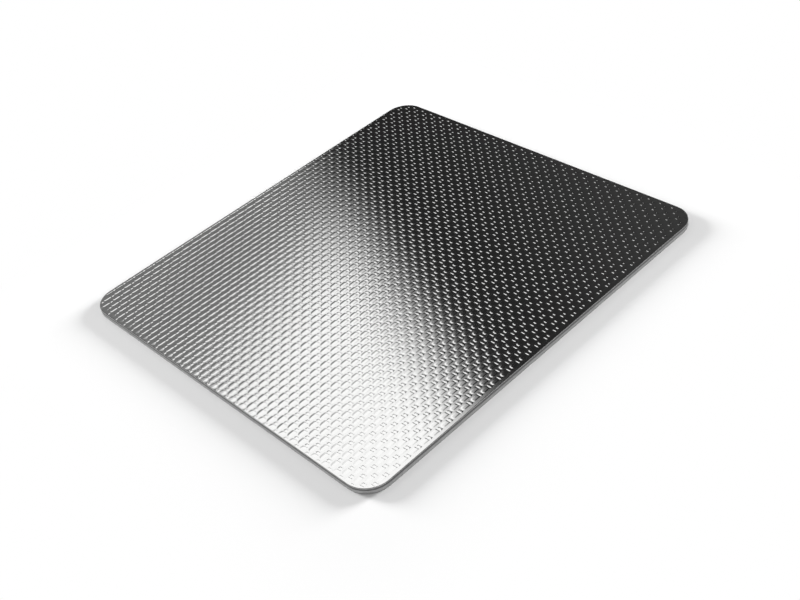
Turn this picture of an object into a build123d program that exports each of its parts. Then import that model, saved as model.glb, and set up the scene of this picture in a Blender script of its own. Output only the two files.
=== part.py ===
"""Embossed stainless steel sheet: a small flat panel with rounded corners and eased cut edges.

Units are millimetres and +Z is up. The sheet lies flat, with its plain back face on Z = 0.
The origin is under the middle of the sheet, and +X runs along its longer side.
The front face carries a rolled pattern of shallow pads, which is surface relief finer than
this solid shows: the solid's front face lies at the crests of that pattern.
"""

import os

from build123d import *

# Driving dimensions, in millimetres
length = 110.0  # longer side, along X
width = 100.0  # shorter side, along Y
thickness = 1.8  # from the back face to the crests of the pattern
corner_radius = 6.0  # the four corners, seen from above
front_edge_radius = 0.15  # upper rim of the cut edge, rolled over by the cut
back_edge_radius = 0.15  # lower rim of the cut edge, only deburred

# Sheet: one piece of rolled metal, cut to its outline and eased along both rims
with BuildPart() as sheet:
    with BuildSketch(Plane.XY):
        RectangleRounded(length, width, corner_radius)
    extrude(amount=thickness)
    front_rim = sheet.faces().sort_by(Axis.Z)[-1].edges()
    fillet(front_rim, radius=front_edge_radius)
    back_rim = sheet.faces().sort_by(Axis.Z)[0].edges()
    fillet(back_rim, radius=back_edge_radius)
sheet.part.label = "sheet"

os.makedirs("parts", exist_ok=True)
export_step(sheet.part, "parts/sheet.step")
print("sheet", sheet.part.bounding_box().size, "volume", round(sheet.part.volume, 2))
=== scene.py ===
"""Embossed stainless steel sheet: a flat panel with a rolled front of staggered pads and cross ribs.

The sheet lies on its plain back in the frame of its CAD model, in metres: +X runs along the longer
side, +Z points out of the embossed front, and the crests of the relief lie at the top of the solid.
"""

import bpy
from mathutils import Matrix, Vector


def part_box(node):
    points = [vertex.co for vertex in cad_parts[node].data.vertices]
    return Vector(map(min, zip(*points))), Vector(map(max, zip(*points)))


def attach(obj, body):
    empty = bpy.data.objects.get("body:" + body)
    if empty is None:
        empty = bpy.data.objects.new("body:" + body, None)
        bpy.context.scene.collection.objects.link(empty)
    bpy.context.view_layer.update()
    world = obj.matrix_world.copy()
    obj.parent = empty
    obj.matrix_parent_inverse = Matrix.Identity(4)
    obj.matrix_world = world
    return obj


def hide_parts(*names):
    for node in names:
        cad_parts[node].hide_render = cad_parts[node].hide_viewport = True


bl_info = {
    "name": "Embossed Stainless Steel Sheet",
    "version": (1, 0, 0),
    "blender": (4, 5, 0),
    "location": "View3D > Sidebar > Sheet",
    "description": "Builds a stainless steel sheet with an embossed front, and a studio stage for it",
    "category": "Add Mesh",
}

import math

import bpy
import numpy as np
from bpy.props import FloatProperty, FloatVectorProperty, PointerProperty
from mathutils import Matrix, Vector
from mathutils.geometry import delaunay_2d_cdt

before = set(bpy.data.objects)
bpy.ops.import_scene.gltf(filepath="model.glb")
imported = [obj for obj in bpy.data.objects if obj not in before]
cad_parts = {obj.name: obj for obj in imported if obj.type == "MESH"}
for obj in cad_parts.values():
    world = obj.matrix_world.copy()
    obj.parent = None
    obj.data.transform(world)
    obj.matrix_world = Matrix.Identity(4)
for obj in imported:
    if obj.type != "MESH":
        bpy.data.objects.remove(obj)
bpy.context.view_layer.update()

MM = 0.001
SHEET_NODE = "sheet"
SHEET_PIECE = "embossed_sheet"
SEED = 20
STUDIO_RADIUS = 20.0

# How finely the sheet is meshed
PAD_POINTS = 12  # points round the top of a pad, and round its foot
RIB_CREST_POINTS = 8  # points round the top of a rib
RIB_FOOT_POINTS = 12  # points round the foot of a rib
SPARE_MOTIFS = 2  # columns, and pads in a column, that are laid out beyond the rim on each side
BEND_REACH = 0.5 * MM  # distance from a column's middle at which the bend of pads and ribs is measured
FAR_BEND = 0.35  # share of that bend at the corner of a pad or rib towards +X and +Y
FLARE_POWER = 4  # how closely the flare keeps to the corners of a pad or rib
LEVEL_LIMIT = math.cos(math.radians(2.0))  # faces of the front that lean more than this are slopes
EDGE_ROUNDING = 0.3  # how far the shading rounds the edge between a level face and a slope
RIM_STEP = 0.42 * MM  # spacing of the points along the rim
RIM_MERGE = 4  # rim points that share one point lower down on the cut edge
ROLL_ANGLES = (30.0, 60.0, 90.0)  # rings of the rolled-over rim, in degrees from level
BACK_ROLL_ANGLE = 45.0  # middle ring of the deburred lower rim, in degrees from upright
RIM_CLEARANCE = 0.14 * MM  # relief points nearer than this to the rim are left out
INSIDE_ONLY = 1  # asks the triangulation for the faces inside the rim alone
SAME_PLACE = 1e-9  # points nearer than this are one point to the triangulation
TILT_LIMIT = 2.0  # largest tilt of a pad's top, as a multiple of the typical one
FLOOR_POINTS = 96  # corners of the round floor
DOME_TURNS = 48  # faces round the walls of the studio
DOME_LEVELS = 12  # rows of faces up the walls of the studio

# Grain of the steel: how often its noise repeats in a metre along X, Y and Z, and how high it stands
FRONT_LINES = (1500.0, 14000.0, 3000.0)
FRONT_CLOUDS = (70.0, 110.0, 70.0)
FRONT_GRAIN_HEIGHT = 0.0012 * MM
EDGE_DRAG_LINES = (9000.0, 9000.0, 500.0)
EDGE_GRAIN = (9000.0, 9000.0, 9000.0)
EDGE_GRAIN_HEIGHT = 0.02 * MM
BACK_LINES = (300.0, 12000.0, 300.0)
BACK_CLOUDS = (45.0, 45.0, 45.0)
BACK_GRAIN_HEIGHT = 0.002 * MM

# How the finish of the steel varies
CHANNEL_START = 0.3  # share of the depth below which the channels' colour sets in
CHANNEL_SHARE = 0.8  # how much of that colour shows on the channels' floor
FRONT_SPREAD = 0.02  # roughness that lines, clouds and channels each add on the front
BREAK_FRAY = 0.12 * MM  # how far the border of the broken band is blurred and frayed
LOW_RIM_SHADE_TOP = 0.42 * MM  # height on the cut edge below which painted shade darkens the lower rim
LOW_RIM_SHADE_DARKEST = 0.2 * MM  # height at which the painted shade is darkest
LOW_RIM_SHADE_SHARE = 0.6  # how dark the painted shade gets there
DRAG_SPREAD = 0.1  # roughness that the drag lines add on the cut edge
BREAK_SPREAD = 0.12  # roughness that the broken band adds
DRAG_SHARE = 0.4  # height of the drag lines, as a share of the broken grain's
BACK_CLOUD_SHARE = 0.5  # how much of the channels' colour shows in the clouds of the back
BACK_SPREAD = 0.06  # roughness that lines and clouds each add on the back
BACK_POLISH = 0.05  # roughness that the back has less between them

# Colour sockets of the mix node, by number because their names are used more than once
MIX_FIRST = 6
MIX_SECOND = 7
MIX_RESULT = 2

# Stage
FLOOR_GAP = 0.02 * MM  # how far the floor lies below the sheet
FLOOR_FADE = (4.0 * MM, 30.0 * MM)  # distances from the sheet between which the floor turns plain white
WALL_LEAN = 0.3  # how far the borders of the walls' greys move sideways with height
WALL_FAR_END = (0.06 * STUDIO_RADIUS, 0.3 * STUDIO_RADIUS)  # run over which the dark side turns paler
WALL_BORDER = 0.05 * STUDIO_RADIUS  # half the width of the border between the dark and the pale side
WINDOW_WAY = (0.26, -0.966, 0.0)  # direction in which the window lies
WINDOW_SIDE = (0.45 * STUDIO_RADIUS, 0.65 * STUDIO_RADIUS)  # run over which it sets in, that way
WINDOW_SILL = (0.3 * STUDIO_RADIUS, 0.45 * STUDIO_RADIUS)  # heights over which it sets in
SENSOR_WIDTH = 36.0  # width of the camera's sensor, in millimetres
NEAREST_VIEW = 0.01  # distance from the camera at which its view starts
WHITE = (1.0, 1.0, 1.0, 1.0)


class ReliefSizes(bpy.types.PropertyGroup):
    """Sizes of the embossed relief and of the cut rim."""

    motif_pitch: FloatProperty(
        name="Motif pitch", description="Repeat of the pattern along a column",
        default=3.0556 * MM, min=MM, unit="LENGTH", precision=6)
    column_pitch: FloatProperty(
        name="Column pitch", description="Distance between two neighbouring columns of pads",
        default=1.692 * MM, min=MM, unit="LENGTH", precision=6)
    motif_shift: FloatProperty(
        name="Motif shift", description="Place of one pad's middle along the sheet",
        default=0.475 * MM, unit="LENGTH", precision=6)
    column_shift: FloatProperty(
        name="Column shift", description="Place of one column's middle across the sheet",
        default=0.605 * MM, unit="LENGTH", precision=6)
    depth: FloatProperty(
        name="Depth", description="Height of the pads and ribs above the level floor round them",
        default=0.033 * MM, min=0.0, unit="LENGTH", precision=6)
    pad_crest: FloatVectorProperty(
        name="Pad crest", description="Reach of a pad's level top towards -X, +X, -Y and +Y",
        size=4, default=(0.805 * MM, 0.93 * MM, 0.268 * MM, 0.311 * MM), unit="LENGTH", precision=6)
    pad_foot: FloatVectorProperty(
        name="Pad foot", description="Reach of a pad's foot towards -X, +X, -Y and +Y",
        size=4, default=(1.06 * MM, 0.985 * MM, 0.55 * MM, 0.8 * MM), unit="LENGTH", precision=6)
    pad_squareness: FloatProperty(
        name="Pad squareness", description="2 makes an oval pad, and larger values square it",
        default=3.4, min=2.0, subtype="FACTOR")
    pad_bend: FloatProperty(
        name="Pad bend", description="How far the sides of a pad are bent towards +X",
        default=0.175 * MM, unit="LENGTH", precision=6)
    pad_flare: FloatVectorProperty(
        name="Pad flare",
        description="How much further a pad's corners at -X-Y, +X-Y, -X+Y and +X+Y reach along X",
        size=4, default=(0.2, 1.0, 0.2, 0.8))
    pad_curl: FloatVectorProperty(
        name="Pad curl",
        description="How much steeper a pad's slopes towards -X, +X, -Y and +Y are on top",
        size=4, default=(0.5, 0.2, -0.2, 0.0))
    rib_place: FloatProperty(
        name="Rib place", description="Distance from a pad's middle to the middle of its cross rib",
        default=1.5 * MM, unit="LENGTH", precision=6)
    rib_crest: FloatVectorProperty(
        name="Rib crest", description="Reach of a rib's level top towards -X, +X, -Y and +Y",
        size=4, default=(0.205 * MM, 0.2 * MM, 0.36 * MM, 0.308 * MM), unit="LENGTH", precision=6)
    rib_foot: FloatVectorProperty(
        name="Rib foot", description="Reach of a rib's foot towards -X, +X, -Y and +Y",
        size=4, default=(0.43 * MM, 0.265 * MM, 0.67 * MM, 0.8 * MM), unit="LENGTH", precision=6)
    rib_squareness: FloatProperty(
        name="Rib squareness", description="2 makes an oval rib, and larger values square it",
        default=4.2, min=2.0, subtype="FACTOR")
    rib_bend: FloatProperty(
        name="Rib bend", description="How far the ends of a rib are bent towards +X",
        default=0.141 * MM, unit="LENGTH", precision=6)
    rib_flare: FloatVectorProperty(
        name="Rib flare",
        description="How much further a rib's corners at -X-Y, +X-Y, -X+Y and +X+Y reach along X",
        size=4, default=(0.5, 1.2, 0.6, 1.0))
    rib_curl: FloatVectorProperty(
        name="Rib curl",
        description="How much steeper a rib's slopes towards -X, +X, -Y and +Y are on top",
        size=4, default=(0.4, 0.2, -0.2, 0.0))
    unevenness: FloatProperty(
        name="Unevenness", description="Typical tilt of a pad's top, from worn rolls",
        default=math.radians(0.04), subtype="ANGLE")
    corner_radius: FloatProperty(
        name="Corner radius", description="Radius of the sheet's corners, seen from above",
        default=6.0 * MM, unit="LENGTH", precision=6)
    front_edge_radius: FloatProperty(
        name="Front edge radius", description="Radius of the rolled-over upper rim",
        default=0.15 * MM, unit="LENGTH", precision=6)
    back_edge_radius: FloatProperty(
        name="Back edge radius", description="Radius of the deburred lower rim",
        default=0.15 * MM, unit="LENGTH", precision=6)
    break_height: FloatProperty(
        name="Break height", description="Height on the cut edge below which the metal broke off",
        default=1.05 * MM, unit="LENGTH", precision=6)
    break_step: FloatProperty(
        name="Break step", description="How far the broken band lies behind the sheared band",
        default=0.01 * MM, unit="LENGTH", precision=6)
    break_waviness: FloatProperty(
        name="Break waviness", description="How far the border of the broken band wanders",
        default=0.05 * MM, unit="LENGTH", precision=6)


class SteelFinish(bpy.types.PropertyGroup):
    """Colours and polish of the steel."""

    colour: FloatVectorProperty(
        name="Steel", description="Colour of the bare steel", subtype="COLOR",
        default=(0.57, 0.57, 0.565), min=0.0, max=1.0)
    channel_colour: FloatVectorProperty(
        name="Channels", description="Colour of the steel in the channels", subtype="COLOR",
        default=(0.55, 0.55, 0.545), min=0.0, max=1.0)
    # The sheared band is a real part of the cut edge, but its dark colour is painted reflection of the
    # dark studio.
    sheared_band_and_shade_colour: FloatVectorProperty(
        name="Sheared band", description="Colour of the sheared band of the cut edge", subtype="COLOR",
        default=(0.18, 0.18, 0.18), min=0.0, max=1.0)
    broken_colour: FloatVectorProperty(
        name="Broken band", description="Colour of the broken band of the cut edge", subtype="COLOR",
        default=(0.5, 0.5, 0.5), min=0.0, max=1.0)
    roughness: FloatProperty(
        name="Front roughness", description="Roughness of the bright rolled front",
        default=0.06, min=0.0, max=1.0, subtype="FACTOR")
    edge_roughness: FloatProperty(
        name="Edge roughness", description="Roughness of the sheared band of the cut edge",
        default=0.34, min=0.0, max=1.0, subtype="FACTOR")
    back_roughness: FloatProperty(
        name="Back roughness", description="Roughness of the plain satin back",
        default=0.36, min=0.0, max=1.0, subtype="FACTOR")


class StudioSetup(bpy.types.PropertyGroup):
    """Camera, softbox, dark studio, lamps and floor."""

    lens: FloatProperty(
        name="Lens", description="Focal length of the camera, in millimetres",
        default=52.294)
    aim: FloatVectorProperty(
        name="Aim", description="Point of the front that the camera looks at", size=2,
        default=(-9.275 * MM, -12.936 * MM), subtype="XYZ", unit="LENGTH", precision=6)
    distance: FloatProperty(
        name="Distance", description="Distance of the camera from the point that it looks at",
        default=268.247 * MM, unit="LENGTH", precision=6)
    azimuth: FloatProperty(
        name="Azimuth", description="Direction of the camera round the sheet, from -Y towards +X",
        default=math.radians(-37.771), subtype="ANGLE")
    elevation: FloatProperty(
        name="Elevation", description="Height of the camera above the sheet, as an angle",
        default=math.radians(39.347), subtype="ANGLE")
    roll: FloatProperty(
        name="Roll", description="Turn of the camera about its line of sight",
        default=math.radians(-11.032), subtype="ANGLE")
    softbox_height: FloatProperty(
        name="Softbox height", description="Height of the softbox above the sheet",
        default=4.0, unit="LENGTH")
    softbox_turn: FloatProperty(
        name="Softbox turn", description="Direction of the softbox's near edge, from +X",
        default=math.radians(-23.77), subtype="ANGLE")
    softbox_edge: FloatProperty(
        name="Softbox edge", description="Distance of that edge from the sheet's middle",
        default=1.14, unit="LENGTH")
    softbox_feather: FloatProperty(
        name="Softbox feather", description="Width over which the softbox fades at its edges",
        default=0.55, unit="LENGTH")
    softbox_width: FloatProperty(
        name="Softbox width", description="Width of the softbox, back from that edge",
        default=9.0, unit="LENGTH")
    softbox_start: FloatProperty(
        name="Softbox start", description="Where along its near edge the softbox starts",
        default=1.6, unit="LENGTH")
    softbox_end: FloatProperty(
        name="Softbox end", description="Where along its near edge the softbox ends",
        default=13.0, unit="LENGTH")
    softbox_skew: FloatProperty(
        name="Softbox skew", description="Direction in which the softbox falls off, from across it",
        default=math.radians(133.7), subtype="ANGLE")
    softbox_level: FloatProperty(
        name="Softbox level", description="Brightness of the softbox's bright part",
        default=1.68, min=0.0)
    softbox_dim_level: FloatProperty(
        name="Softbox dim level", description="Brightness of the softbox's far end",
        default=0.27, min=0.0)
    softbox_bright_end: FloatProperty(
        name="Bright end", description="Where along the softbox the light starts to fall off",
        default=2.85, unit="LENGTH")
    softbox_dim_end: FloatProperty(
        name="Dim end", description="Where along the softbox the light has fallen off",
        default=3.70, unit="LENGTH")
    studio_level: FloatProperty(
        name="Studio level", description="Brightness of the dark side of the studio",
        default=0.028, min=0.0)
    studio_far_level: FloatProperty(
        name="Studio far level", description="Brightness of the dark side's far end, low down",
        default=0.075, min=0.0)
    studio_pale_level: FloatProperty(
        name="Studio pale level", description="Brightness of the pale side of the studio",
        default=0.2, min=0.0)
    window_level: FloatProperty(
        name="Window level", description="Brightness of the pale window at the studio's -Y side",
        default=0.6, min=0.0)
    lamp_distance: FloatProperty(
        name="Lamp distance",
        description="Distance of the two lamps from the sheet's middle, over the floor",
        default=2.24, unit="LENGTH")
    lamp_turn: FloatProperty(
        name="Lamp turn", description="How far each lamp stands outwards from the +X or +Y axis",
        default=math.radians(15.0), subtype="ANGLE")
    lamp_height: FloatProperty(
        name="Lamp height", description="Height of the two lamps above the floor",
        default=0.52, unit="LENGTH")
    lamp_size: FloatProperty(
        name="Lamp size", description="Width of each lamp", default=0.73, unit="LENGTH")
    lamp_power: FloatProperty(
        name="Lamp power", description="Power of each lamp", default=95.0, unit="POWER")
    floor_glow: FloatProperty(
        name="Floor glow", description="Share of the floor beside the sheet that is plain white",
        default=0.12, min=0.0, max=1.0, subtype="FACTOR")
    floor_colour: FloatVectorProperty(
        name="Floor", description="Colour of the floor", subtype="COLOR",
        default=(0.92, 0.92, 0.92), min=0.0, max=1.0)


class Wire:
    """A socket of a node tree, on which shader maths is written as Python expressions."""

    def __init__(self, graph, socket):
        self.graph = graph
        self.socket = socket

    def maths(self, operation, first, second):
        return self.graph.add("ShaderNodeMath", {"operation": operation}, {0: first, 1: second})

    def __add__(self, other):
        return self.maths("ADD", self, other)

    __radd__ = __add__

    def __sub__(self, other):
        return self.maths("SUBTRACT", self, other)

    def __rsub__(self, other):
        return self.maths("SUBTRACT", other, self)

    def __mul__(self, other):
        return self.maths("MULTIPLY", self, other)

    __rmul__ = __mul__


class Graph:
    """A node tree that is written from the top down, one node at a time."""

    def __init__(self, tree):
        self.tree = tree
        tree.nodes.clear()

    def add(self, kind, settings=None, inputs=None, output=0):
        """Adds a node, sets its settings first and then its sockets, and returns one of its outputs."""
        node = self.tree.nodes.new(kind)
        for name, value in (settings or {}).items():
            setattr(node, name, value)
        for name, value in (inputs or {}).items():
            if isinstance(value, Wire):
                self.tree.links.new(value.socket, node.inputs[name])
            else:
                node.inputs[name].default_value = value
        return Wire(self, node.outputs[output]) if len(node.outputs) else None

    def ramp(self, value, start, end, low=0.0):
        """A smooth step of a value, from low at start to 1 at end."""
        return self.add(
            "ShaderNodeMapRange", {"interpolation_type": "SMOOTHSTEP"},
            {"Value": value, "From Min": start, "From Max": end, "To Min": low, "To Max": 1.0})

    def mix(self, factor, first, second):
        """A blend of two colours."""
        return self.add(
            "ShaderNodeMix", {"data_type": "RGBA"},
            {"Factor": factor, MIX_FIRST: first, MIX_SECOND: second}, MIX_RESULT)

    def noise(self, place, stretch, detail=2.0):
        """Noise from 0 to 1 at a place that is stretched by a factor along each axis."""
        spread = self.vector("MULTIPLY", place, stretch)
        return self.add(
            "ShaderNodeTexNoise", None, {"Vector": spread, "Scale": 1.0, "Detail": detail})

    def bump(self, height, distance):
        """A normal from a height, whose full range stands for a distance in metres."""
        return self.add(
            "ShaderNodeBump", None, {"Height": height, "Distance": distance, "Strength": 1.0})

    def vector(self, operation, first, second=None, output=0):
        """Vector maths on one or two places."""
        inputs = {0: first} if second is None else {0: first, 1: second}
        return self.add("ShaderNodeVectorMath", {"operation": operation}, inputs, output)

    def along(self, place, way):
        """How far a place lies in a direction."""
        return self.vector("DOT_PRODUCT", place, way, "Value")

    def axes(self, place):
        """The three parts of a vector."""
        node = self.add("ShaderNodeSeparateXYZ", None, {0: place}).socket.node
        return [Wire(self, output) for output in node.outputs]


def rgba(colour):
    """A colour property as the four numbers that a colour socket takes."""
    return (colour[0], colour[1], colour[2], 1.0)


def grey(level):
    """A grey of that brightness as the four numbers that a colour socket takes."""
    return (level, level, level, 1.0)


def new_material(name):
    """An empty node material and its graph."""
    material = bpy.data.materials.new(name)
    material.use_nodes = True
    return material, Graph(material.node_tree)


def metal_output(graph, colour, roughness, normal):
    """Ends a graph in a metal surface."""
    surface = graph.add(
        "ShaderNodeBsdfPrincipled", None,
        {"Base Color": colour, "Metallic": 1.0, "Roughness": roughness, "Normal": normal})
    graph.add("ShaderNodeOutputMaterial", None, {"Surface": surface})


def embossed_front_material(finish, crest_height, depth):
    """Bright rolled steel: fine lines along the sheet, and duller metal down in the channels."""
    material, graph = new_material("embossed_front_steel")
    place = graph.add("ShaderNodeTexCoord", output="Object")
    height = graph.axes(place)[2]
    sunk = graph.ramp(height, crest_height - CHANNEL_START * depth, crest_height - depth)
    lines = graph.noise(place, FRONT_LINES)
    clouds = graph.noise(place, FRONT_CLOUDS, detail=3.0)
    colour = graph.mix(sunk * CHANNEL_SHARE, rgba(finish.colour), rgba(finish.channel_colour))
    roughness = finish.roughness + FRONT_SPREAD * (clouds + lines + sunk - 1.0)
    metal_output(graph, colour, roughness, graph.bump(lines, FRONT_GRAIN_HEIGHT))
    return material


def cut_edge_material(finish, break_height):
    """Cut edge: a sheared band with upright drag lines, whose dark colour is painted reflection, a
    paler broken band, and painted shade along the lower rim.
    """
    material, graph = new_material("cut_edge_steel")
    place = graph.add("ShaderNodeTexCoord", output="Object")
    height = graph.axes(place)[2]
    drag = graph.noise(place, EDGE_DRAG_LINES)
    grain = graph.noise(place, EDGE_GRAIN, detail=4.0)
    edge_height = height + BREAK_FRAY * drag
    broken = graph.ramp(edge_height, break_height + BREAK_FRAY, break_height - BREAK_FRAY)
    # Painted shade: the lower rim is darkened towards the sheared band's colour, standing in for the
    # shadowed floor that it reflects.
    low_rim_shade = graph.ramp(edge_height, LOW_RIM_SHADE_TOP, LOW_RIM_SHADE_DARKEST)
    # The sheared band's dark colour is painted reflection of the dark studio, laid over the real
    # sheared band; the broken band below is paler.
    colour = graph.mix(broken, rgba(finish.sheared_band_and_shade_colour), rgba(finish.broken_colour))
    colour = graph.mix(low_rim_shade * LOW_RIM_SHADE_SHARE, colour, rgba(finish.sheared_band_and_shade_colour))
    roughness = finish.edge_roughness + DRAG_SPREAD * drag + BREAK_SPREAD * broken
    relief = drag * (1.0 - broken) * DRAG_SHARE + grain * broken
    metal_output(graph, colour, roughness, graph.bump(relief, EDGE_GRAIN_HEIGHT))
    return material


def plain_back_material(finish):
    """Satin rolled back: fine lines along the sheet and faint clouds."""
    material, graph = new_material("plain_back_steel")
    place = graph.add("ShaderNodeTexCoord", output="Object")
    lines = graph.noise(place, BACK_LINES, detail=3.0)
    clouds = graph.noise(place, BACK_CLOUDS, detail=3.0)
    colour = graph.mix(clouds * BACK_CLOUD_SHARE, rgba(finish.colour), rgba(finish.channel_colour))
    roughness = finish.back_roughness - BACK_POLISH + BACK_SPREAD * (lines + clouds)
    metal_output(graph, colour, roughness, graph.bump(lines, BACK_GRAIN_HEIGHT))
    return material


def unit(vectors):
    """Vectors brought to length 1."""
    return vectors / np.linalg.norm(vectors, axis=-1, keepdims=True)


class Relief:
    """The embossed relief: staggered columns of level pads, with a cross rib after each pad."""

    def __init__(self, sizes, half_length, half_width):
        self.sizes = sizes
        self.columns = math.ceil(half_width / sizes.column_pitch) + SPARE_MOTIFS
        self.motifs = math.ceil(half_length / sizes.motif_pitch) + SPARE_MOTIFS

    @staticmethod
    def ring(reach, squareness, count, bend, flare):
        """Points round a pad or rib, and how far each faces towards -X, +X, -Y and +Y."""
        low = -np.array([reach[0], reach[2]])
        high = np.array([reach[1], reach[3]])
        half = (high - low) / 2
        angle = (np.arange(count) + 0.5) * 2 * math.pi / count
        circle = np.stack([np.cos(angle), np.sin(angle)], axis=1)
        points = np.sign(circle) * np.abs(circle) ** (2 / squareness)
        outward = unit(np.sign(points) * np.abs(points) ** (squareness - 1) / half)
        facing = np.stack([-outward[:, 0], outward[:, 0], -outward[:, 1], outward[:, 1]], axis=1)
        share = np.where((circle > 0).all(axis=1), FAR_BEND, 1.0)
        corner = 2 * (circle[:, 1] > 0) + (circle[:, 0] > 0)
        points[:, 0] *= 1 + np.array(flare)[corner] * circle[:, 1] ** FLARE_POWER
        points = points * half + (low + high) / 2
        points[:, 0] += bend * share * (points[:, 1] / BEND_REACH) ** 2
        return points, np.maximum(facing, 0.0) ** 2

    def motif(self):
        """Rings of one pad and its rib: places, heights, how steep the slope is shaded, and links."""
        sizes = self.sizes
        pad = (sizes.pad_squareness, sizes.pad_bend, sizes.pad_flare, sizes.pad_curl, 0.0)
        rib = (sizes.rib_squareness, sizes.rib_bend, sizes.rib_flare, sizes.rib_curl, sizes.rib_place)
        places, heights, steepness, links = [], [], [], []
        first = 0
        for reach, count, height, side, (squareness, bend, flare, curl, place) in (
                (sizes.pad_crest, PAD_POINTS, 0.0, 1, pad),
                (sizes.pad_foot, PAD_POINTS, -sizes.depth, -1, pad),
                (sizes.rib_crest, RIB_CREST_POINTS, 0.0, 1, rib),
                (sizes.rib_foot, RIB_FOOT_POINTS, -sizes.depth, -1, rib)):
            points, facing = self.ring(reach, squareness, count, bend, flare)
            places.append(points + (place, 0.0))
            heights.append(np.full(count, height))
            steepness.append(1 + side * facing @ np.array(curl))
            numbers = first + np.arange(count)
            links.append(np.stack([numbers, np.roll(numbers, -1)], axis=1))
            first += count
        return [np.concatenate(part) for part in (places, heights, steepness, links)]

    def origins(self):
        """The middle of every pad, in columns that are staggered by half a pitch."""
        sizes = self.sizes
        column = np.arange(-self.columns, self.columns + 1)
        motif = np.arange(-self.motifs, self.motifs + 1)
        column, motif = [grid.ravel() for grid in np.meshgrid(column, motif, indexing="ij")]
        along = sizes.motif_shift + (motif + 0.5 * (column % 2)) * sizes.motif_pitch
        return np.stack([along, sizes.column_shift + column * sizes.column_pitch], axis=1)

    def points(self):
        """All points of the relief, their heights and steepness, and the pairs that an edge links."""
        places, heights, steepness, links = self.motif()
        origins = self.origins()
        chance = np.random.default_rng(SEED)
        lean = math.tan(self.sizes.unevenness)
        tilts = lean * np.clip(chance.normal(0.0, 1.0, origins.shape), -TILT_LIMIT, TILT_LIMIT)
        sunk = TILT_LIMIT * lean * np.abs(places).sum(axis=1).max()
        on_crest = heights > -self.sizes.depth / 2
        all_heights = heights - sunk + np.where(on_crest, tilts @ places.T, 0.0)
        all_places = origins[:, None, :] + places
        first = np.arange(len(origins))[:, None, None] * len(places)
        all_links = (first + links).reshape(-1, 2)
        all_steepness = np.tile(steepness, len(origins))
        return all_places.reshape(-1, 2), all_heights.ravel(), all_steepness, all_links


class Outline:
    """The rounded rectangle of the sheet, with points along it and their outward directions."""

    def __init__(self, half_length, half_width, radius):
        self.reach = np.array([half_length, half_width]) - radius
        self.radius = radius
        points = []
        outward = []
        for quarter, signs in enumerate(((1, 1), (-1, 1), (-1, -1), (1, -1))):
            centre = self.reach * signs
            start = quarter * math.pi / 2
            steps = self.steps(radius * math.pi / 2)
            angles = start + np.arange(steps) / steps * math.pi / 2
            ways = np.stack([np.cos(angles), np.sin(angles)], axis=1)
            points.append(centre + radius * ways)
            outward.append(ways)
            way = np.array([-math.sin(start), math.cos(start)])
            run = 2 * self.reach[quarter % 2]
            steps = self.steps(run)
            along = np.arange(steps) / steps * run
            heading = np.array([-way[1], way[0]])
            points.append(centre + radius * way + along[:, None] * heading)
            outward.append(np.tile(way, (steps, 1)))
        self.points = np.concatenate(points)
        self.outward = np.concatenate(outward)

    @staticmethod
    def steps(run):
        """How many rim steps a run takes, as a whole number of merged groups."""
        return RIM_MERGE * max(1, round(run / RIM_STEP / RIM_MERGE))

    def inset(self, distance):
        """The points of the outline, moved inwards."""
        return self.points - distance * self.outward

    def depth_inside(self, points):
        """How far points lie inside the outline."""
        beyond = np.abs(points) - self.reach
        outside = np.hypot(*np.maximum(beyond, 0.0).T)
        return self.radius - outside - np.minimum(beyond.max(axis=1), 0.0)


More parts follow.
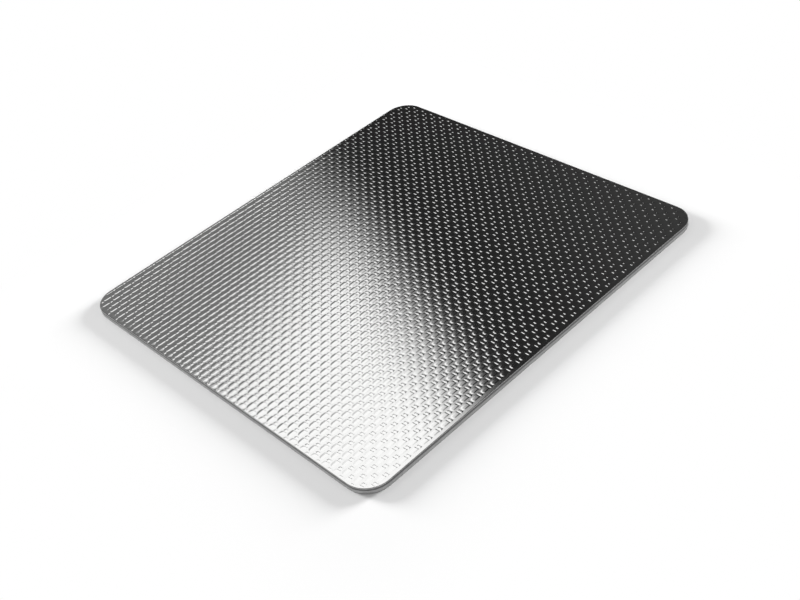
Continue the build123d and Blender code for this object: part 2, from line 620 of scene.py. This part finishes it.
class SheetMesh:
    """Collects the rings and faces of the closed sheet, with a normal for every point."""

    FRONT, EDGE, BACK = range(3)

    def __init__(self):
        self.points = []
        self.normals = []
        self.faces = []
        self.finishes = []
        self.count = 0
        self.front_faces = 0
        self.steepness = None

    def add_points(self, places, heights, normals):
        """Adds points and returns their numbers."""
        heights = np.broadcast_to(heights, len(places))
        self.points.append(np.column_stack([places, heights]))
        self.normals.append(unit(normals))
        numbers = np.arange(self.count, self.count + len(places))
        self.count += len(places)
        return numbers

    def add_faces(self, faces, finish):
        """Adds faces of one finish."""
        self.faces.extend(faces)
        self.finishes.extend([finish] * len(faces))

    def bridge(self, upper, lower, finish):
        """Joins two rings of as many points by a band of four-sided faces."""
        band = np.stack([upper, lower, np.roll(lower, -1), np.roll(upper, -1)], axis=1)
        self.add_faces(band.tolist(), finish)

    def narrow(self, fine, coarse, finish):
        """Joins a ring to one with fewer points, by fans of triangles."""
        half = RIM_MERGE // 2
        following = np.roll(coarse, -1)
        ring = np.append(fine, fine[0])
        for group, (left, right) in enumerate(zip(coarse.tolist(), following.tolist())):
            run = ring[group * RIM_MERGE:(group + 1) * RIM_MERGE + 1].tolist()
            fan = [(run[k + 1], run[k], left if k < half else right) for k in range(RIM_MERGE)]
            self.add_faces(fan + [(left, right, run[half])], finish)

    def corner_normals(self, points):
        """Normals at the corners of all faces: on the front apart for level faces and slopes."""
        front = np.array(self.faces[:self.front_faces])
        corners = points[front]
        normals = np.cross(corners[:, 1] - corners[:, 0], corners[:, 2] - corners[:, 0])
        slopes = (normals[:, 2] < LEVEL_LIMIT * np.linalg.norm(normals, axis=1)).astype(int)
        sums = np.zeros((2, len(points), 3))
        for corner in range(3):
            np.add.at(sums, (slopes, front[:, corner]), normals)
        own = unit(sums[slopes[:, None], front])
        blended = (1 - EDGE_ROUNDING) * own + EDGE_ROUNDING * unit(sums.sum(axis=0)[front])
        blended[..., :2] *= np.where(slopes[:, None], self.steepness[front], 1.0)[..., None]
        others = np.concatenate([np.array(face) for face in self.faces[self.front_faces:]])
        return np.concatenate([unit(blended).reshape(-1, 3), np.concatenate(self.normals)[others]])

    def to_mesh(self, name):
        """The Blender mesh."""
        mesh = bpy.data.meshes.new(name)
        points = np.concatenate(self.points)
        mesh.from_pydata(points.tolist(), [], self.faces)
        mesh.polygons.foreach_set("material_index", self.finishes)
        mesh.shade_smooth()
        if mesh.validate(verbose=True):
            raise RuntimeError("the sheet's mesh had faulty faces")
        mesh.normals_split_custom_set(self.corner_normals(points).tolist())
        return mesh


def build_front(shell, relief, outline, crest_height, inset):
    """Adds the embossed face inside the rim, and returns the rim's points and their height."""
    rim = outline.inset(inset)
    points, heights, steepness, links = relief.points()
    kept = outline.depth_inside(points) > inset + RIM_CLEARANCE
    renumbered = len(rim) + np.cumsum(kept) - 1
    links = renumbered[links[kept[links].all(axis=1)]]
    places = np.concatenate([rim, points[kept]])
    floor = heights.min()
    heights = np.concatenate([np.full(len(rim), floor), heights[kept]])
    ring = list(range(len(rim)))
    found, _, faces, sources, _, _ = delaunay_2d_cdt(
        places.tolist(), links.tolist(), [ring], INSIDE_ONLY, SAME_PLACE)
    if len(found) != len(places):
        raise RuntimeError("two points of the relief fell together")
    order = np.array([source[0] for source in sources])
    upright = np.tile([0.0, 0.0, 1.0], (len(places), 1))
    numbers = shell.add_points(places, crest_height + heights, upright)
    shell.add_faces([[int(order[corner]) for corner in face] for face in faces], SheetMesh.FRONT)
    shell.front_faces = len(faces)
    shell.steepness = np.concatenate([np.ones(len(rim)), steepness[kept]])
    return numbers[:len(rim)], crest_height + floor


def build_rim(shell, outline, sizes, rim_height, rim):
    """Adds the rolled-over rim and the cut edge, and closes the sheet with its flat back."""
    radius = sizes.front_edge_radius
    upper = rim
    for degrees in ROLL_ANGLES:
        angle = math.radians(degrees)
        places = outline.inset(radius * (1 - math.sin(angle)))
        height = rim_height - radius * (1 - math.cos(angle))
        upright = np.full(len(places), math.cos(angle))
        normals = np.column_stack([math.sin(angle) * outline.outward, upright])
        ring = shell.add_points(places, height, normals)
        shell.bridge(upper, ring, SheetMesh.FRONT)
        upper = ring

    lower = slice(None, None, RIM_MERGE)
    outward = outline.outward[lower]
    chance = np.random.default_rng(SEED + 1)
    wander = sizes.break_waviness * chance.uniform(-1.0, 1.0, len(outward))
    back = sizes.back_edge_radius
    step = sizes.break_step
    eased = math.radians(BACK_ROLL_ANGLE)
    rings = (
        (0.0, sizes.break_height + wander, 0.0),
        (step, sizes.break_height - 2 * step + wander, 0.0),
        (2 * step, back, 0.0),
        (2 * step + back * (1 - math.cos(eased)), back * (1 - math.sin(eased)), eased),
        (2 * step + back, 0.0, math.pi / 2),
    )
    for number, (inset, heights, turn) in enumerate(rings):
        down = np.full(len(outward), -math.sin(turn))
        normals = np.column_stack([outward * math.cos(turn), down])
        ring = shell.add_points(outline.inset(inset)[lower], heights, normals)
        if number == 0:
            shell.narrow(upper, ring, SheetMesh.EDGE)
        else:
            shell.bridge(upper, ring, SheetMesh.EDGE)
        upper = ring
    shell.add_faces([upper[::-1].tolist()], SheetMesh.BACK)


class SHEET_OT_embossed_sheet(bpy.types.Operator):
    """Builds the embossed sheet in place of its plain solid"""

    bl_idname = "sheet.embossed_sheet"
    bl_label = "Embossed Sheet"

    def execute(self, context):
        sizes = context.scene.sheet_relief
        finish = context.scene.sheet_finish
        low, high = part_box(SHEET_NODE)
        half_length = (high[0] - low[0]) / 2
        half_width = (high[1] - low[1]) / 2
        crest_height = high[2]
        relief = Relief(sizes, half_length, half_width)
        outline = Outline(half_length, half_width, sizes.corner_radius)
        shell = SheetMesh()
        rim, rim_height = build_front(shell, relief, outline, crest_height, sizes.front_edge_radius)
        build_rim(shell, outline, sizes, rim_height, rim)
        piece = bpy.data.objects.new(SHEET_PIECE, shell.to_mesh(SHEET_PIECE))
        piece.data.materials.append(embossed_front_material(finish, crest_height, sizes.depth))
        piece.data.materials.append(cut_edge_material(finish, sizes.break_height))
        piece.data.materials.append(plain_back_material(finish))
        context.scene.collection.objects.link(piece)
        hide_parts(SHEET_NODE)
        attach(piece, "root")
        return {"FINISHED"}


def stage_object(context, name, mesh, material):
    """Links a mesh as part of the stage."""
    mesh.materials.append(material)
    piece = bpy.data.objects.new(name, mesh)
    context.scene.collection.objects.link(piece)
    return piece


def polygon_mesh(name, corners):
    """A mesh of one flat face."""
    mesh = bpy.data.meshes.new(name)
    mesh.from_pydata(corners, [], [list(range(len(corners)))])
    return mesh


def floor_material(studio, half_sheet):
    """Pale matt floor, which runs out into plain white for the camera away from the sheet."""
    material, graph = new_material("studio_floor")
    rays = graph.add("ShaderNodeLightPath").socket.node
    seen = Wire(graph, rays.outputs["Is Camera Ray"]) + Wire(graph, rays.outputs["Is Glossy Ray"])
    seen = seen + Wire(graph, rays.outputs["Is Transmission Ray"])
    place = graph.add("ShaderNodeTexCoord", output="Object")
    beside = graph.vector("SUBTRACT", graph.vector("ABSOLUTE", place), half_sheet)
    beside = graph.vector("MAXIMUM", beside, (0.0, 0.0, 0.0))
    away = graph.vector("LENGTH", beside, output="Value")
    matt = graph.add(
        "ShaderNodeBsdfPrincipled", None,
        {"Base Color": rgba(studio.floor_colour), "Roughness": 1.0, "Specular IOR Level": 0.0})
    white = graph.add("ShaderNodeEmission", None, {"Color": WHITE, "Strength": 1.0})
    faded = graph.ramp(away, *FLOOR_FADE, low=studio.floor_glow)
    surface = graph.add("ShaderNodeMixShader", None, {0: seen * faded, 1: matt, 2: white})
    graph.add("ShaderNodeOutputMaterial", None, {"Surface": surface})
    return material


def softbox_material(studio):
    """Glowing cloth of the softbox, bright over most of it and dim towards its far end."""
    material, graph = new_material("softbox_cloth")
    place = graph.add("ShaderNodeTexCoord", output="Object")
    across, along, _ = graph.axes(place)
    fall_way = (math.cos(studio.softbox_skew), math.sin(studio.softbox_skew), 0.0)
    fall = graph.ramp(
        graph.along(place, fall_way), studio.softbox_bright_end, studio.softbox_dim_end)
    feather = studio.softbox_feather
    edge = studio.softbox_edge
    start = studio.softbox_start
    behind_edge = graph.ramp(across, edge + feather / 2, edge - feather / 2)
    inside = behind_edge * graph.ramp(along, start, start + feather)
    lit = graph.mix(fall, grey(studio.softbox_level), grey(studio.softbox_dim_level))
    beyond = graph.mix(behind_edge, grey(studio.studio_level), grey(studio.studio_pale_level))
    cloth = graph.mix(inside, beyond, lit)
    glow = graph.add("ShaderNodeEmission", None, {"Color": cloth})
    graph.add("ShaderNodeOutputMaterial", None, {"Surface": glow})
    return material


def wall_material(studio):
    """Walls of the studio: dark on one side, paler on the other, with a pale window behind."""
    material, graph = new_material("studio_wall")
    place = graph.add("ShaderNodeTexCoord", output="Object")
    height = graph.axes(place)[2]
    side_way = (math.cos(studio.softbox_turn), math.sin(studio.softbox_turn), 0.0)
    beside = graph.along(place, side_way) - WALL_LEAN * height
    far_end = graph.ramp(beside, *WALL_FAR_END)
    dark = graph.mix(far_end, grey(studio.studio_level), grey(studio.studio_far_level))
    pale_side = graph.ramp(beside, WALL_BORDER, -WALL_BORDER)
    walls = graph.mix(pale_side, dark, grey(studio.studio_pale_level))
    window = graph.ramp(graph.along(place, WINDOW_WAY), *WINDOW_SIDE)
    window = window * graph.ramp(height, *WINDOW_SILL)
    walls = graph.mix(window, walls, grey(studio.window_level))
    glow = graph.add("ShaderNodeEmission", None, {"Color": walls})
    graph.add("ShaderNodeOutputMaterial", None, {"Surface": glow})
    return material


def white_world():
    """A plain white world behind the stage."""
    world = bpy.data.worlds.new("white_backdrop")
    world.use_nodes = True
    graph = Graph(world.node_tree)
    backdrop = graph.add("ShaderNodeBackground", None, {"Color": WHITE, "Strength": 1.0})
    graph.add("ShaderNodeOutputWorld", None, {"Surface": backdrop})
    return world


def dome_mesh(name, radius):
    """Upper half of a ball, open below."""
    mesh = bpy.data.meshes.new(name)
    points = [(0.0, 0.0, radius)]
    for level in range(DOME_LEVELS):
        tilt = (level / DOME_LEVELS) * math.pi / 2
        flat = radius * math.cos(tilt)
        for turn in range(DOME_TURNS):
            angle = 2 * math.pi * turn / DOME_TURNS
            points.append((flat * math.cos(angle), flat * math.sin(angle), radius * math.sin(tilt)))
    faces = []
    for turn in range(DOME_TURNS):
        after = (turn + 1) % DOME_TURNS
        for level in range(DOME_LEVELS - 1):
            low = 1 + level * DOME_TURNS
            high = low + DOME_TURNS
            faces.append((low + turn, low + after, high + after, high + turn))
        top = 1 + (DOME_LEVELS - 1) * DOME_TURNS
        faces.append((top + turn, top + after, 0))
    mesh.from_pydata(points, [], faces)
    return mesh


class SHEET_OT_stage(bpy.types.Operator):
    """Builds the floor, the softbox, the dark studio, the lamps and the camera"""

    bl_idname = "sheet.stage"
    bl_label = "Studio Stage"

    def execute(self, context):
        studio = context.scene.sheet_studio
        low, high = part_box(SHEET_NODE)
        floor_height = low[2] - FLOOR_GAP
        turns = [2 * math.pi * k / FLOOR_POINTS for k in range(FLOOR_POINTS)]
        corners = [(STUDIO_RADIUS * math.cos(a), STUDIO_RADIUS * math.sin(a), 0.0) for a in turns]
        floor = stage_object(
            context, "floor", polygon_mesh("floor", corners), floor_material(studio, high))
        floor.location.z = floor_height

        edge = studio.softbox_edge + studio.softbox_feather
        back = edge - studio.softbox_width
        start, end = studio.softbox_start, studio.softbox_end
        corners = [(back, start, 0.0), (back, end, 0.0), (edge, end, 0.0), (edge, start, 0.0)]
        softbox = stage_object(
            context, "softbox", polygon_mesh("softbox", corners), softbox_material(studio))
        softbox.location.z = high[2] + studio.softbox_height
        softbox.rotation_euler.z = studio.softbox_turn
        softbox.visible_shadow = False
        softbox.visible_camera = False

        dome = dome_mesh("studio_walls", STUDIO_RADIUS)
        walls = stage_object(context, "studio_walls", dome, wall_material(studio))
        walls.location.z = floor_height
        walls.visible_camera = False

        ahead = studio.lamp_distance * math.cos(studio.lamp_turn)
        aside = studio.lamp_distance * math.sin(studio.lamp_turn)
        self.floor_lamp(context, studio, "right_lamp", (ahead, -aside, studio.lamp_height))
        self.floor_lamp(context, studio, "rear_lamp", (-aside, ahead, studio.lamp_height))
        context.scene.world = white_world()
        context.scene.camera = self.camera(context, studio, high[2])
        context.scene.view_settings.view_transform = "Standard"
        return {"FINISHED"}

    @staticmethod
    def floor_lamp(context, studio, name, place):
        """A wide low lamp that whitens the floor and throws a soft shadow beside one near edge."""
        data = bpy.data.lights.new(name, "AREA")
        data.shape = "DISK"
        data.size = studio.lamp_size
        data.energy = studio.lamp_power
        lamp = bpy.data.objects.new(name, data)
        context.scene.collection.objects.link(lamp)
        lamp.location = place
        lamp.rotation_euler = Vector(place).to_track_quat("Z", "Y").to_euler()
        lamp.visible_glossy = False
        lamp.visible_camera = False

    @staticmethod
    def camera(context, studio, crest_height):
        """The camera, at the picture's own viewing angle."""
        data = bpy.data.cameras.new("picture_camera")
        data.lens = studio.lens
        data.sensor_width = SENSOR_WIDTH
        data.clip_start = NEAREST_VIEW
        camera = bpy.data.objects.new("picture_camera", data)
        context.scene.collection.objects.link(camera)
        flat = math.cos(studio.elevation)
        back = Vector((
            math.sin(studio.azimuth) * flat,
            -math.cos(studio.azimuth) * flat,
            math.sin(studio.elevation)))
        aim = Vector((studio.aim[0], studio.aim[1], crest_height))
        level = Vector((0.0, 0.0, 1.0)).cross(back).normalized()
        turned = Matrix.Rotation(studio.roll, 3, back) @ level
        up = back.cross(turned)
        axes = Matrix((turned, up, back)).transposed().to_4x4()
        camera.matrix_world = Matrix.Translation(aim + studio.distance * back) @ axes
        return camera


class SHEET_PT_panel(bpy.types.Panel):
    """Sizes, finish and stage of the embossed sheet"""

    bl_label = "Embossed Sheet"
    bl_idname = "SHEET_PT_panel"
    bl_space_type = "VIEW_3D"
    bl_region_type = "UI"
    bl_category = "Sheet"

    def draw(self, context):
        scene = context.scene
        for group in (scene.sheet_relief, scene.sheet_finish, scene.sheet_studio):
            column = self.layout.column(align=True)
            for name in group.bl_rna.properties.keys():
                if name not in ("rna_type", "name"):
                    column.prop(group, name)
        self.layout.operator(SHEET_OT_embossed_sheet.bl_idname)
        self.layout.operator(SHEET_OT_stage.bl_idname)


CLASSES = (
    ReliefSizes, SteelFinish, StudioSetup, SHEET_OT_embossed_sheet, SHEET_OT_stage, SHEET_PT_panel)


def register():
    for cls in CLASSES:
        bpy.utils.register_class(cls)
    bpy.types.Scene.sheet_relief = PointerProperty(type=ReliefSizes)
    bpy.types.Scene.sheet_finish = PointerProperty(type=SteelFinish)
    bpy.types.Scene.sheet_studio = PointerProperty(type=StudioSetup)


def unregister():
    del bpy.types.Scene.sheet_studio
    del bpy.types.Scene.sheet_finish
    del bpy.types.Scene.sheet_relief
    for cls in reversed(CLASSES):
        bpy.utils.unregister_class(cls)


def main():
    register()
    bpy.ops.sheet.embossed_sheet()
    bpy.ops.sheet.stage()


if __name__ == "__main__":
    main()
